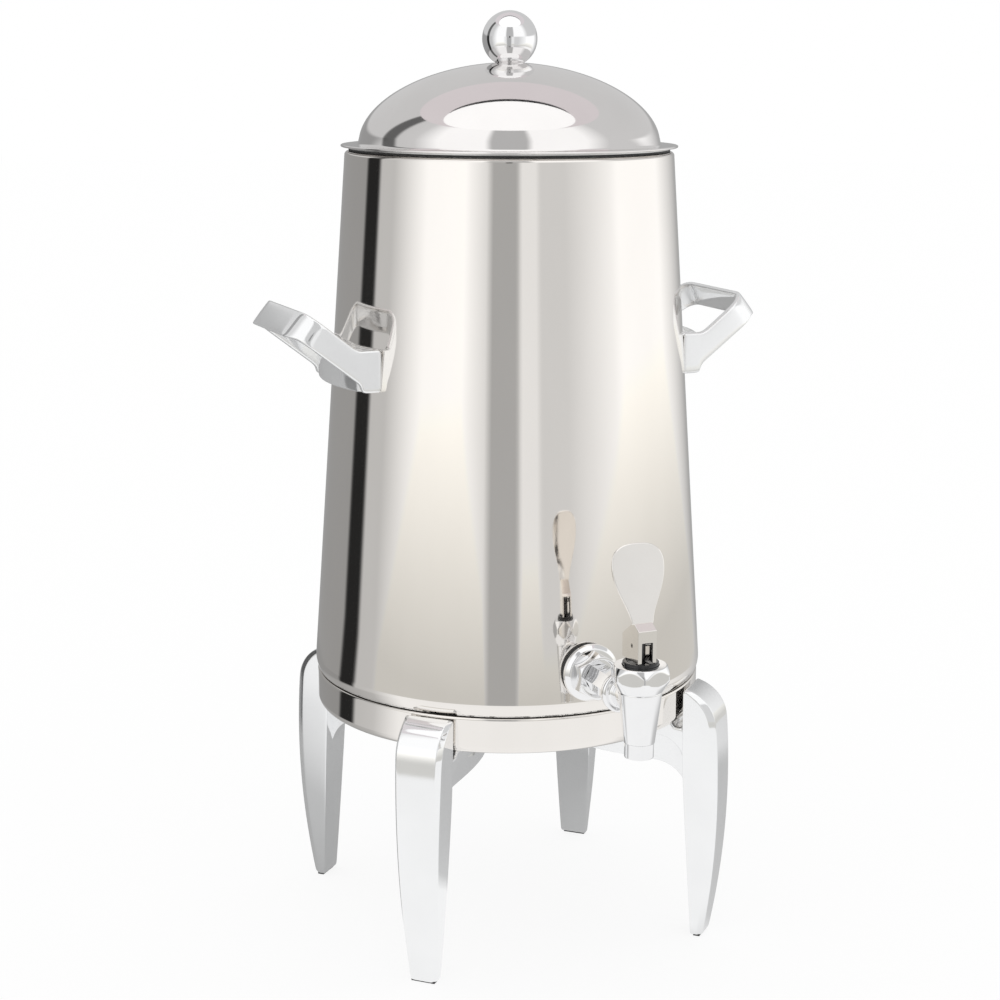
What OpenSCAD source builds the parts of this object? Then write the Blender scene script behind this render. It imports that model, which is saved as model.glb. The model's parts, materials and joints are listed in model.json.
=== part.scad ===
// Double-walled coffee urn on four legs, with a lift-off domed lid and a self-closing tap.
// Millimetres. +Z up, the tap faces -Y, the handles face -X and +X.
// The origin is on the floor, under the axis of the urn.

/* [Body] */
// Outside radius of the shell at the seam
shell_foot_r = 152; // [145:0.5:160]
// Outside radius of the shell at its shoulder
shell_top_r = 124.3; // [118:0.5:132]
// Height of the shell
shell_h = 400; // [370:1:430]
// Sheet thickness of shell, tank and lid
sheet = 1.2; // [0.8:0.1:1.6]
// Vacuum space between shell and tank
jacket_gap = 11; // [9:0.5:14]
// Height of the tank floor above the seam
tank_floor_h = 15.5; // [14:0.5:18]
// Corner radius of the tank floor
tank_corner_r = 9; // [6:1:12]
// Radius of the turned-in shoulder
shoulder_r = 3; // [2:0.5:4]
// Radius of the turned-in foot edge
foot_roll_r = 24; // [18:1:30]
// Angle by which the foot edge turns in
foot_turn = 24; // [18:1:28]

/* [Base] */
// Height of the base band above the floor
band_z = 175.8; // [165:0.1:195]
// Height of the base band
band_h = 27.7; // [24:0.1:30]
// Outside radius of the base band
band_r = 150; // [146:0.1:154]
// Radius of the lower edge of the band
band_roll_r = 6; // [4:0.5:8]
// Radius of the upper edge of the band
band_edge_r = 1.5; // [1.3:0.1:2.5]
// Width of the band's turned-in lips
band_lip = 14; // [10:1:18]
// Thickness of the base plate
plate_t = 3; // [2:0.5:4]
// Thickness of the seam gasket
seam_t = 1; // [0.8:0.1:2]
// Setback of the seam gasket from the band's outer face
seam_setback = 3.5; // [2.5:0.5:5]

/* [Legs] */
// Width of a leg at the floor
leg_foot_w = 22.6; // [18:0.2:28]
// Width of a leg at its top
leg_top_w = 37.6; // [34:0.2:44]
// Outward swell of a leg's side edges
leg_side_swell = 1.5; // [0:0.1:3]
// Depth of the bevels along a leg's outer edges
leg_bevel = 5; // [3:0.5:7]
// Width of the bevels along a leg's outer edges
leg_bevel_w = 3; // [2:0.2:4]
// Depth of a leg at the floor
leg_foot_depth = 9; // [8:0.5:14]
// Depth of a leg beside the band
leg_top_depth = 26.2; // [22:0.1:32]
// Distance from the band's face out to the outer edge of the foot
leg_foot_out = 18.8; // [14:0.1:24]
// Outward bow of a leg's outer edge
leg_bow = 6; // [2:0.1:8]
// Radius of the leg's shoulder
leg_shoulder_r = 30; // [26:0.5:32]
// Clearance between leg and band
leg_gap = 1.7; // [0.8:0.1:2]
// Height of the relief under the band's rolled edge
leg_relief = 4; // [2:0.5:6]
// Thickness of the arm's flange under the band
arm_flange_t = 12; // [10:0.5:16]
// Depth of the arm's web below the band
arm_drop = 36; // [32:1:44]
// Width of the arm's web
web_w = 13; // [10:0.5:15]
// Radius of the fillet between leg and flange
arm_fillet_r = 21; // [16:1:23]
// Radius of the web's lower curve
web_curve_r = 27; // [20:1:32]
// Distance from the axis to the inner end of an arm
arm_end_r = 48; // [44:1:60]
// Thickness of the glide that a foot stands on
glide_t = 3; // [2:0.5:4]
// How far the glide stands out of the foot
glide_out = 0.8; // [0.5:0.1:1.5]
// Margin from the glide to the edges of the foot
glide_margin = 2; // [1.5:0.1:2.5]

/* [Handles] */
// Height of a handle's foot above the seam
handle_h = 230; // [200:1:250]
// Height of a handle's foot
handle_foot_h = 31.5; // [28:0.5:36]
// Depth of a handle's foot beyond the shell
handle_foot_out = 10.5; // [9:0.5:14]
// Distance from the shell to the outer face of the grip
handle_out = 58; // [50:0.5:66]
// Rise from the foot to the top of the grip
handle_rise = 60.5; // [54:0.5:68]
// Width of a handle between the outer faces of its arms
handle_w = 111; // [100:1:120]
// Thickness of the handle's arms
bar_t = 7; // [6:0.5:9]
// Height of the grip's slanting outer face
grip_h = 17.5; // [14:0.5:22]
// Setback of the grip's top edge from its outer face
grip_lean = 14; // [10:0.5:18]
// Thickness of the grip at its lower edge
grip_t = 11; // [9:0.5:13]
// Thickness of the grip at its top edge
grip_top_t = 4.5; // [3.5:0.5:6]
// Outer corner radius of the grip
grip_corner_r = 21; // [16:0.5:26]

/* [Lid] */
// How far the lid's rim stands out beyond the shell
rim_out = 3; // [2:0.5:5]
// Height of the lid's rim above the shell
lid_gap = 3; // [2.6:0.1:4]
// Setback of the dome's foot from the shell's shoulder
dome_set = 10.8; // [7:0.1:14]
// Height of the dome
dome_h = 59; // [45:0.5:70]
// Shape of the dome: 1 is an ellipse, more is leaner between foot and crown
dome_form = 1.06; // [1:0.01:1.15]
// Height of the step between rim and dome
dome_step = 3.4; // [2.5:0.1:5]
// Depth of the liner below the shell's mouth
liner_depth = 16; // [10:1:24]
// Clearance between liner and mouth
liner_gap = 1.5; // [1:0.1:3]
// Radius of the knob's ball
knob_r = 20.7; // [16:0.1:24]
// Radius of the knob's neck
knob_neck_r = 10.2; // [8:0.1:12]
// Height of the ball's centre above the dome
knob_rise = 17.2; // [15:0.1:24]

/* [Outlet] */
// Height of the outlet above the seam
outlet_h = 32; // [30:0.5:40]
// Outside radius of the outlet pipe
pipe_r = 9.5; // [9:0.1:10.5]
// Bore radius of the outlet pipe
pipe_bore_r = 7; // [6.5:0.1:7.5]
// Distance from the axis of the urn to the axis of the tap
tap_reach = 233; // [228:0.5:242]
// Radius of the flange nut's flange
nut_flange_r = 21.3; // [19:0.1:24]
// Distance across the flats of the flange nut
nut_af = 31; // [29:0.5:33]
// Length of the flange nut
nut_len = 18; // [15:0.5:20]
// Thickness of the shell washer
shell_washer_t = 2; // [1.5:0.1:3]
// Distance across the flats of the hexagonal shank
shank_af = 18.6; // [17:0.2:20]
// Bore radius of the shank
shank_bore_r = 4.6; // [4:0.1:5]

/* [Tap] */
// Height of the tap body above the shank's axis
tap_up = 10; // [9.5:0.5:11]
// Depth of the tapered tap body below the shank's axis
tap_down = 27.5; // [26:0.5:32]
// Radius of the tap body at its top
tap_top_r = 15.6; // [15:0.1:17]
// Radius of the tap body at its lower end
tap_low_r = 11; // [10.8:0.1:12.5]
// Distance from the tap's axis to the inner face of its collar
collar_reach = 33; // [28:0.5:36]
// Radius of the tap's collar
collar_r = 15; // [13:0.5:16]
// Length of the tap's collar
collar_len = 6; // [5:0.5:8]
// Outside radius of the spout
spout_r = 10.4; // [9.8:0.1:10.7]
// Bore radius of the spout
spout_bore_r = 7.5; // [6.5:0.1:8]
// Length of the spout
spout_len = 11; // [8:0.5:16]
// Depth of the valve seat below the shank's axis
seat_drop = 9; // [8.5:0.5:10]
// Radius of the valve chamber
chamber_r = 10; // [9.8:0.1:10.6]
// Distance across the flats of the bonnet
bonnet_af = 38; // [36:0.5:42]
// Height of the bonnet
bonnet_h = 18.5; // [17.5:0.5:22]
// Turn of the bonnet's flats
bonnet_turn = 14; // [0:1:30]
// Radius of the gland's dished flange
gland_r = 12.7; // [11.5:0.1:14]
// Height of the gland above the bonnet
gland_up = 2.5; // [2:0.1:3.5]
// Radius of the stem
stem_r = 3.2; // [2.8:0.1:3.4]
// Running clearance of the stem in the gland
stem_fit = 0.08; // [0.05:0.01:0.1]
// Radius of the seat cup
cup_r = 8.6; // [8.2:0.1:9]
// Height of the seat cup
cup_h = 9; // [8:0.5:10]
// Wire diameter of the valve spring
wire_d = 1.2; // [1:0.1:1.5]
// Mean coil radius of the valve spring
coil_r = 7; // [6.5:0.1:7.4]
// Turns of the valve spring
turns = 4.5; // [3:0.5:5.5]

/* [Lever] */
// Width of the lever's fork
fork_w = 14; // [13:0.5:18]
// Reach of the fork in front of the stem
fork_front = 9; // [8:0.5:11]
// Reach of the fork behind the stem
fork_back = 15; // [12:0.5:17]
// Height of the fork
fork_h = 24; // [22:0.5:28]
// Thickness of the fork's plates
fork_t = 2; // [1.5:0.1:2.5]
// Height of the pivot pin above the gland
pin_h = 11; // [10:0.5:13]
// Radius of the pivot pin
pin_r = 1.5; // [1.2:0.1:1.8]
// Running clearance around the pivot pin
pin_fit = 0.05; // [0.03:0.01:0.1]
// Width of the paddle
paddle_w = 40; // [34:0.5:46]
// Width of the paddle's neck
neck_w = 16.5; // [13:0.5:20]
// Height of the paddle above the fork
paddle_h = 56; // [48:1:64]
// Height of the paddle's rounded crown
blade_h = 16; // [12:0.5:20]
// Thickness of the paddle
paddle_t = 2.4; // [2:0.1:3]
// Backward lean of the paddle in degrees
paddle_lean = 13; // [8:1:16]
// Gap under the fork at rest
fork_gap = 0.3; // [0.2:0.1:0.5]

/* [Fasteners] */
// Radius of the base screws and studs
screw_r = 3; // [2.5:0.1:3.5]
// Radius of the screw heads
head_r = 5; // [4.6:0.1:5.6]
// Height of the screw heads
head_h = 3.3; // [2.5:0.1:4]
// Distance across the flats of the nuts
hex_nut_af = 10; // [9:0.5:11]
// Thickness of the nuts
hex_nut_t = 5; // [4:0.5:6]
// Clearance of the screw holes
hole_gap = 0.3; // [0.2:0.1:0.5]
// Distance from the axis to the leg screws
leg_screw_ring = 108; // [100:1:114]
// Distance from the axis to the vessel studs
stud_ring = 92; // [80:1:100]
// Height of the handle studs above the underside of the foot
handle_stud_h = 15; // [12:0.5:18]
// Angle from the middle of a handle to its studs
handle_stud_angle = 13; // [8:0.5:16]
// Radius of the handle studs
handle_stud_r = 2; // [1.8:0.1:2.4]
// Length of the handle studs
handle_stud_len = 8; // [6:0.5:9]
// Radial play in the large screw threads
thread_gap = 0.1; // [0.05:0.05:0.2]
// Root gap of the welds between vessel parts
weld_gap = 0.3; // [0.2:0.1:0.4]

/* [Hidden] */
$fn = 96;

seam_z = band_z + band_h;
shell_z = seam_z + seam_t;
mouth_z = shell_z + shell_h;
taper = (shell_foot_r - shell_top_r) / shell_h;
tilt = atan(taper);
function shell_r(z) = shell_foot_r - taper * (z - shell_z);
function tank_r(z) = shell_r(z) - jacket_gap;
tank_z = shell_z + tank_floor_h;
neck_r = tank_r(mouth_z);
lip_r = band_r - band_lip;
plate_z = band_z + sheet;
plate_r = band_r - sheet - hole_gap;

// Lists of points. A rounded outline has corners written as [x, y, radius].
function arc(c, r, from, to, n = 6) =
    [for (i = [0:n]) let (a = from + (to - from) * i / n) [c.x + r * cos(a), c.y + r * sin(a)]];
function flip(p) = [for (i = [len(p) - 1:-1:0]) p[i]];
function unit(v) = v / norm(v);
function flat(p) = [p.x, p.y];
function turn(a) = (a + 540) % 360 - 180;
function corner(a, b, c, n) =
    b[2] == 0 ? [flat(b)] :
    let (
        u = unit(flat(a) - flat(b)),
        v = unit(flat(c) - flat(b)),
        half = acos(u * v) / 2,
        centre = flat(b) + unit(u + v) * b[2] / sin(half),
        start = flat(b) + u * b[2] / tan(half) - centre,
        end = flat(b) + v * b[2] / tan(half) - centre,
        from = atan2(start.y, start.x)
    )
    arc(centre, b[2], from, from + turn(atan2(end.y, end.x) - from), n);
function rounded(p, n = 6) =
    [for (i = [0:len(p) - 1]) each corner(p[(i + len(p) - 1) % len(p)], p[i], p[(i + 1) % len(p)], n)];

module revolve(p) { rotate_extrude() polygon(p); }
module disc(r, z, h) { translate([0, 0, z]) cylinder(r = r, h = h); }
module ring(r_out, r_in, z, h) { revolve([[r_in, z], [r_out, z], [r_out, z + h], [r_in, z + h]]); }
module hex(af, z, h) { translate([0, 0, z]) cylinder(r = af / 2 / cos(30), h = h, $fn = 6); }
module quarters(start = 0) { for (a = [0:90:270]) rotate(a + start) children(); }

// ---- Vessel ----

shoulder_c = let (z = mouth_z - shoulder_r)
    [shell_r(z + shoulder_r * sin(tilt)) - shoulder_r * cos(tilt), z];
foot_c = let (z = shell_z + foot_roll_r * sin(foot_turn))
    [shell_r(z + foot_roll_r * sin(tilt)) - foot_roll_r * cos(tilt), z];
function foot_end(inset) = asin((foot_roll_r * sin(foot_turn) - inset) / (foot_roll_r - inset));
function foot_edge(inset) = foot_c.x + (foot_roll_r - inset) * cos(foot_end(inset));
shell_lip_r = foot_edge(0) - band_lip;
outlet_z = shell_z + outlet_h;

// The shell's skin, inset by a given depth: shoulder, cone, turned-in foot edge and lip
function skin(inset) = concat(
    [[neck_r + weld_gap, mouth_z - inset]],
    arc(shoulder_c, shoulder_r - inset, 90, tilt),
    arc(foot_c, foot_roll_r - inset, tilt, -foot_end(inset)),
    [[shell_lip_r, shell_z + inset]]);

module along_outlet() { translate([0, 0, outlet_z]) rotate([90, 0, 0]) children(); }
module pipe_hole() { along_outlet() disc(pipe_r, 0, tap_reach); }

module outer_shell() {
    color("#c9c4bd") difference() {
        revolve(concat(skin(0), flip(skin(sheet))));
        pipe_hole();
    }
}

tank_corner = [tank_r(tank_z + tank_corner_r) - tank_corner_r, tank_z + tank_corner_r];
function tank_skin(inset) = concat(
    [[0, tank_z + inset]],
    arc(tank_corner, tank_corner_r - inset, -90, 0),
    [[neck_r - inset, mouth_z]]);

module inner_tank() {
    color("#b9b9b7") difference() {
        revolve(concat(tank_skin(0), flip(tank_skin(sheet))));
        pipe_hole();
    }
}

// The welded and ground bead that joins shell and tank at the mouth
bead_h = 1.2;
bead_w = 2.7;
module mouth_ring() {
    color("#c4c2be") ring(neck_r - sheet + bead_w, neck_r - sheet, mouth_z, bead_h);
}

base_z = shell_z + sheet;
base_r = foot_edge(sheet) - weld_gap;
cap_r = 12;
port_r = 4;
module jacket_base() {
    color("#a9a9a7") difference() {
        disc(base_r, base_z, sheet);
        disc(port_r, base_z - 1, sheet + 2);
    }
}

// Insulating ring that carries the tank on the jacket base
support_r = 46;
support_w = 10;
module tank_support() {
    color("#8d8062") ring(support_r, support_r - support_w, base_z + sheet, tank_z - base_z - sheet);
}

cap_h = 4;
module getter_cap() {
    color("#9a9a98") revolve(rounded([
        [0, base_z - cap_h, 0], [cap_r, base_z - cap_h, 2], [cap_r, base_z, 0], [0, base_z, 0]]));
}

// Studs welded under the jacket base; nuts hold the vessel down on the base plate
stud_tail = 6;
module vessel_studs() {
    color("#9c9c9a") quarters() translate([stud_ring, 0, 0])
        disc(screw_r, plate_z - hex_nut_t - stud_tail + plate_t, base_z - plate_z + hex_nut_t + stud_tail - plate_t);
}

module vessel_nuts() {
    color("#8f8f8d") quarters() translate([stud_ring, 0, 0]) difference() {
        hex(hex_nut_af, plate_z - hex_nut_t, hex_nut_t);
        disc(screw_r, plate_z - hex_nut_t - 1, hex_nut_t + 2);
    }
}

// ---- Base ----

module seam_gasket() {
    color("#1b1b1c") ring(band_r - seam_setback, lip_r, seam_z, seam_t);
}

// The band's skin, inset by a given depth: upper lip, face and rolled lower edge
function band_skin(inset) = concat(
    [[lip_r, seam_z - inset]],
    arc([band_r - band_edge_r, seam_z - band_edge_r], band_edge_r - inset, 90, 0),
    arc([band_r - band_roll_r, band_z + band_roll_r], band_roll_r - inset, 0, -90),
    [[lip_r, band_z + inset]]);

module base_band() {
    color("#c9c4bd") revolve(concat(band_skin(0), flip(band_skin(sheet))));
}

leg_angle = 45;
screw_side = web_w / 2 + head_r + 0.4;
module leg_screw_places() {
    quarters(leg_angle) for (s = [-1, 1]) translate([leg_screw_ring, s * screw_side, 0]) children();
}

module base_plate() {
    color("#a9a9a7") difference() {
        disc(plate_r - band_roll_r, plate_z, plate_t);
        leg_screw_places() disc(screw_r + hole_gap, plate_z - 1, plate_t + 2);
        quarters() translate([stud_ring, 0, 0]) disc(screw_r + hole_gap, plate_z - 1, plate_t + 2);
    }
}

// ---- Legs ----

leg_in = band_r + leg_gap;
leg_out = leg_in + leg_top_depth;
leg_top_z = seam_z - leg_gap / 2;
shoulder_z = leg_top_z - leg_shoulder_r;
foot_out = band_r + leg_foot_out;
foot_in = foot_out - leg_foot_depth;
flange_z = band_z - arm_flange_t;
web_z = band_z - arm_drop;
fillet_z = flange_z - arm_fillet_r;
leg_in_top = leg_in + leg_gap / 2;
fillet_x = leg_in_top - arm_fillet_r;

// Outer edge from the foot up to the shoulder, and inner edge of the leg, as distance from the axis
function outer_x(z) = let (u = z / shoulder_z) foot_out + (leg_out - foot_out) * u + 4 * leg_bow * u * (1 - u);
function inner_x(z) = foot_in + (leg_in_top - foot_in) * z / fillet_z;
function half_w(z) = let (u = z / seam_z)
    (leg_foot_w + (leg_top_w - leg_foot_w) * u) / 2 + 4 * leg_side_swell * u * (1 - u);
edge_steps = 12;
shoulder_from = 9;
shoulder_end = 1.5;
shoulder_to = acos((leg_in + shoulder_end - leg_out + leg_shoulder_r) / leg_shoulder_r);

// Outer edge, from the floor to the top: x is the distance from the axis, y the height
function leg_edge() = concat(
    [for (i = [0:edge_steps]) let (z = glide_out + (shoulder_z - glide_out) * i / edge_steps) [outer_x(z), z]],
    arc([leg_out - leg_shoulder_r, shoulder_z], leg_shoulder_r, shoulder_from, shoulder_to, 8));

// Side view of the leg proper with its flange
function leg_side() = concat(leg_edge(),
    [[leg_in, leg_top_z], [leg_in, band_z - leg_relief], [band_r - band_roll_r, band_z - leg_relief],
     [band_r - band_roll_r, band_z], [lip_r - hole_gap, band_z], [lip_r - hole_gap, plate_z],
     [arm_end_r, plate_z], [arm_end_r, flange_z]],
    arc([fillet_x, fillet_z], arm_fillet_r, 90, 0, 8),
    [[inner_x(glide_out), glide_out]]);

// Side view of the web under the flange
web_c = [inner_x(web_z - web_curve_r) - web_curve_r, web_z - web_curve_r];
function web_side() = concat(
    [[arm_end_r, flange_z + 1], [arm_end_r + 8, web_z]],
    arc(web_c, web_curve_r, 90, 0, 8),
    [[inner_x(web_c.y) + 3, web_c.y], [leg_in + 4, flange_z + 1]]);

function leg_front() = concat(
    [for (i = [0:edge_steps]) let (z = seam_z * i / edge_steps) [half_w(z), z]],
    [for (i = [edge_steps:-1:0]) let (z = seam_z * i / edge_steps) [-half_w(z), z]]);

// The bevels' plane, seen along the leg's edge: the leg's corner less the bevel, turned by bevel_turn
bevel_turn = atan2(leg_bevel, leg_bevel_w);
function bevel_side() = concat(
    [[0, glide_out]],
    [for (p = leg_edge()) [(p.x - leg_bevel) * cos(bevel_turn) + half_w(p.y) * sin(bevel_turn), p.y]],
    [[0, leg_top_z]]);

module upright(w) { rotate([90, 0, 0]) translate([0, 0, -w / 2]) linear_extrude(w) children(); }

module glide_block(grow) {
    x = foot_in + glide_margin - grow;
    translate([x, -leg_foot_w / 2 + glide_margin - grow, 0])
        cube([leg_foot_depth - 2 * glide_margin + 2 * grow, leg_foot_w - 2 * glide_margin + 2 * grow, glide_t]);
}

module leg() {
    color("#e4e4e6") difference() {
        union() {
            intersection() {
                upright(2 * leg_top_w) polygon(leg_side());
                rotate([90, 0, 90]) linear_extrude(2 * leg_out) polygon(leg_front());
                rotate(bevel_turn) upright(4 * leg_out) polygon(bevel_side());
                rotate(-bevel_turn) upright(4 * leg_out) polygon(bevel_side());
            }
            upright(web_w) polygon(web_side());
        }
        for (s = [-1, 1]) translate([leg_screw_ring, s * screw_side, 0])
            disc(screw_r + hole_gap, flange_z - 1, arm_flange_t + sheet + 2);
        glide_block(0);
    }
}

module leg_rear_right() { rotate(leg_angle) leg(); }
module leg_rear_left() { rotate(leg_angle + 90) leg(); }
module leg_front_left() { rotate(leg_angle + 180) leg(); }
module leg_front_right() { rotate(leg_angle + 270) leg(); }

module foot_glides() { color("#2b2b2d") quarters(leg_angle) glide_block(0); }

module leg_screws() {
    color("#9c9c9a") leg_screw_places() {
        disc(screw_r, flange_z, plate_z + plate_t + hex_nut_t + 1 - flange_z);
        revolve(rounded([[0, flange_z - head_h, 0], [head_r, flange_z - head_h, 1.2], [head_r, flange_z, 0],
            [0, flange_z, 0]]));
    }
}

module leg_nuts() {
    color("#8f8f8d") leg_screw_places() difference() {
        hex(hex_nut_af, plate_z + plate_t, hex_nut_t);
        disc(screw_r, plate_z + plate_t - 1, hex_nut_t + 2);
    }
}

// ---- Handles ----

handle_z = shell_z + handle_h;
handle_shell_r = shell_r(handle_z);
handle_top_z = handle_z + handle_foot_h;
foot_r = handle_shell_r + handle_foot_out;
foot_half = handle_w / 2 - bar_t + 1;
foot_x = sqrt(pow(foot_r, 2) - pow(foot_half, 2)) + 0.3;
root_x = handle_shell_r - 2 * handle_foot_out;
grip_x = handle_shell_r + handle_out;
grip_top_z = handle_z + handle_rise;
grip_low_z = grip_top_z - grip_h;
outer_lean = atan2(grip_lean, grip_h);
inner_lean = atan2(grip_lean + grip_top_t - grip_t, grip_h);
arm_start = 4.5;
foot_step = 0.4;
past = 8;

// Side view of arms and grip: distance from the axis, and height; the leaning loops cut its outer end
function handle_side() = let (top_slope = (grip_top_z - handle_top_z) / (grip_x - grip_lean - foot_x - arm_start))
    rounded([
        [root_x, handle_z, 0], [foot_x, handle_z, 1.5], [foot_x, handle_z + arm_start, 0],
        [grip_x - grip_t + 4, grip_low_z - 1.3, 3], [grip_x + past, grip_low_z + 1, 0],
        [grip_x - grip_lean + past, grip_top_z + past * top_slope, 0], [foot_x + arm_start, handle_top_z, 6],
        [root_x, handle_top_z, 0]]);

// Top view of the loop from its outer end inwards, inset from the arms' outer faces
function loop(inset) = rounded([
    [-2 * handle_out, inset - handle_w / 2, 0], [0, inset - handle_w / 2, grip_corner_r - inset],
    [0, handle_w / 2 - inset, grip_corner_r - inset], [-2 * handle_out, handle_w / 2 - inset, 0]]);

// A loop's upright sides, leaning back with the grip from a point on its end face
module leaning(x, lean, inset) {
    translate([x, 0, grip_low_z]) rotate([0, -lean, 0]) translate([0, 0, -2 * handle_rise])
        linear_extrude(4 * handle_rise) polygon(loop(inset));
}

stud_z = handle_z + handle_stud_h;
module handle_stud_places() {
    for (s = [-1, 1]) rotate(s * handle_stud_angle) translate([root_x, 0, stud_z]) rotate([0, 90, 0]) children();
}
module handle_stud() { disc(handle_stud_r, 0, handle_shell_r - root_x + handle_stud_len); }

module shell_cone(grow) {
    translate([0, 0, shell_z]) cylinder(r1 = shell_foot_r + grow, r2 = shell_top_r + grow, h = shell_h, $fn = 360);
}

set_screw_r = 2;
set_screw_in = 0.5;
module set_screw_places() {
    for (s = [-1, 1]) rotate(s * handle_stud_angle)
        translate([handle_shell_r + handle_stud_len / 2, 0, handle_z]) children();
}

// A loop on a curved foot that follows the shell
module handle() {
    color("#dcdcde") difference() {
        union() {
            intersection() {
                disc(foot_r, handle_z + foot_step, handle_foot_h - 2 * foot_step);
                translate([root_x, -foot_half, handle_z]) cube([handle_out, 2 * foot_half, handle_foot_h]);
            }
            difference() {
                intersection() {
                    upright(2 * handle_w) polygon(handle_side());
                    leaning(grip_x, outer_lean, 0);
                }
                leaning(grip_x - grip_t, inner_lean, bar_t);
            }
        }
        shell_cone(0);
        handle_stud_places() handle_stud();
        set_screw_places() disc(set_screw_r, -1, handle_stud_h + 1);
    }
}

module handle_right() { handle(); }
module handle_left() { rotate(180) handle(); }

module handle_studs() {
    color("#9c9c9a") for (side = [0, 180]) rotate(side) difference() {
        handle_stud_places() handle_stud();
        shell_cone(0);
    }
}

module handle_set_screws() {
    color("#8f8f8d") for (side = [0, 180]) rotate(side)
        set_screw_places() disc(set_screw_r, set_screw_in, handle_stud_h - handle_stud_r - set_screw_in);
}

// ---- Lid ----

rim_r = shell_top_r + rim_out;
dome_r = shell_top_r - dome_set;
lid_z = mouth_z + lid_gap;
dome_z = lid_z + dome_step;
dome_steps = 20;
function dome_at(radius, inset) = dome_z + (dome_h - inset)
    * pow(sin(acos(pow(radius / (dome_r - inset), 1 / dome_form))), dome_form);
function dome(inset) = [for (i = [0:dome_steps]) let (a = 90 * i / dome_steps)
    [(dome_r - inset) * pow(cos(a), dome_form), dome_z + (dome_h - inset) * pow(sin(a), dome_form)]];

module lid_dome() {
    outside = concat([[rim_r, lid_z], [rim_r, lid_z + sheet]],
        arc([dome_r + 2, dome_z - 0.2], dome_step - sheet - 0.2, 270, 190, 4), dome(0));
    inside = concat([[dome_r + 1 - sheet, lid_z]], dome(sheet));
    color("#bfbab6") difference() {
        revolve(concat(outside, flip(inside)));
        disc(screw_r + hole_gap, dome_z, dome_h + 5);
    }
}

liner_r = neck_r - sheet - liner_gap;
liner_z = mouth_z - liner_depth;
liner_flange_r = shell_top_r - shoulder_r;
module lid_liner() {
    color("#b9b9b7") revolve([
        [0, liner_z], [liner_r, liner_z], [liner_r, lid_z - sheet], [liner_flange_r, lid_z - sheet],
        [liner_flange_r, lid_z], [liner_r - sheet, lid_z], [liner_r - sheet, liner_z + sheet], [0, liner_z + sheet]]);
}

gasket_gap = 0.3;
gasket_w = 6;
module lid_gasket() {
    color("#1b1b1c") ring(liner_flange_r, liner_flange_r - gasket_w, mouth_z + gasket_gap,
        lid_gap - sheet - gasket_gap);
}

dome_top = dome_z + dome_h;
knob_z = dome_top + knob_rise;
tap_hole = 14;
module lid_knob() {
    color("#dcdcde") difference() {
        union() {
            translate([0, 0, knob_z]) sphere(r = knob_r);
            disc(knob_neck_r, dome_top, knob_rise);
        }
        disc(screw_r, dome_top - knob_r, knob_r + tap_hole);
        disc(knob_r + 1, dome_top - 2 * knob_r, 2 * knob_r);
    }
}

washer_r = 9;
washer_t = 1.5;
washer_z = dome_at(washer_r, sheet) - washer_t - 0.2;
module knob_washer() {
    color("#9c9c9a") ring(washer_r, screw_r + hole_gap, washer_z, washer_t);
}

module knob_screw() {
    color("#9c9c9a") {
        disc(screw_r, washer_z - head_h / 2, dome_top + tap_hole - 2 - washer_z + head_h / 2);
        revolve(rounded([[0, washer_z - head_h, 0], [head_r, washer_z - head_h, 1.2], [head_r, washer_z, 0],
            [0, washer_z, 0]]));
    }
}

// ---- Outlet: lengths run outwards from the axis of the urn ----

washer_at = shell_r(outlet_z) + 0.2;
nut_at = washer_at + shell_washer_t;
nut_end = nut_at + nut_len;
flange_len = 6;
pipe_end = nut_end - 5;
recess_r = 13.6;
recess_d = 4;
collar_at = tap_reach - collar_reach;
nose_r = pipe_bore_r - thread_gap;
gasket_t = 1.5;
hex_at = nut_end - recess_d + weld_gap;

module outlet_pipe() {
    color("#a9a9a7") along_outlet() difference() {
        disc(pipe_r, tank_r(outlet_z) - 4, pipe_end - tank_r(outlet_z) + 4);
        disc(pipe_bore_r, tank_r(outlet_z) - 10, pipe_end);
    }
}

module shell_washer() {
    color("#1b1b1c") along_outlet() difference() {
        disc(nut_flange_r - 0.6, shell_r(outlet_z) - 4, shell_washer_t + 4.2);
        disc(pipe_r, 0, tap_reach);
        rotate([-90, 0, 0]) translate([0, 0, -outlet_z]) shell_cone(0.2);
    }
}

module flange_nut() {
    color("#dcdcde") along_outlet() difference() {
        union() {
            revolve(rounded([[0, nut_at, 0], [nut_flange_r, nut_at, 0], [nut_flange_r, nut_at + flange_len, 3.5],
                [0, nut_at + flange_len, 0]]));
            intersection() {
                rotate(30) hex(nut_af, nut_at, nut_len);
                translate([0, 0, nut_at]) cylinder(r1 = nut_af / 2 + nut_len, r2 = nut_af / 2 + 1.2, h = nut_len);
            }
        }
        disc(pipe_r + thread_gap, 0, tap_reach);
        disc(recess_r, nut_end - recess_d, recess_d + 1);
    }
}

module shank() {
    color("#dcdcde") along_outlet() difference() {
        union() {
            disc(nose_r, nut_at, collar_at - nut_at);
            hex(shank_af, hex_at, collar_at - gasket_t - hex_at);
        }
        disc(shank_bore_r, 0, tap_reach);
    }
}

module shank_gasket() {
    color("#1b1b1c") along_outlet() ring(shank_af / 2, nose_r + thread_gap, collar_at - gasket_t, gasket_t);
}

// ---- Tap: drawn on its own vertical axis, at the height of the shank's axis ----

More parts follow.
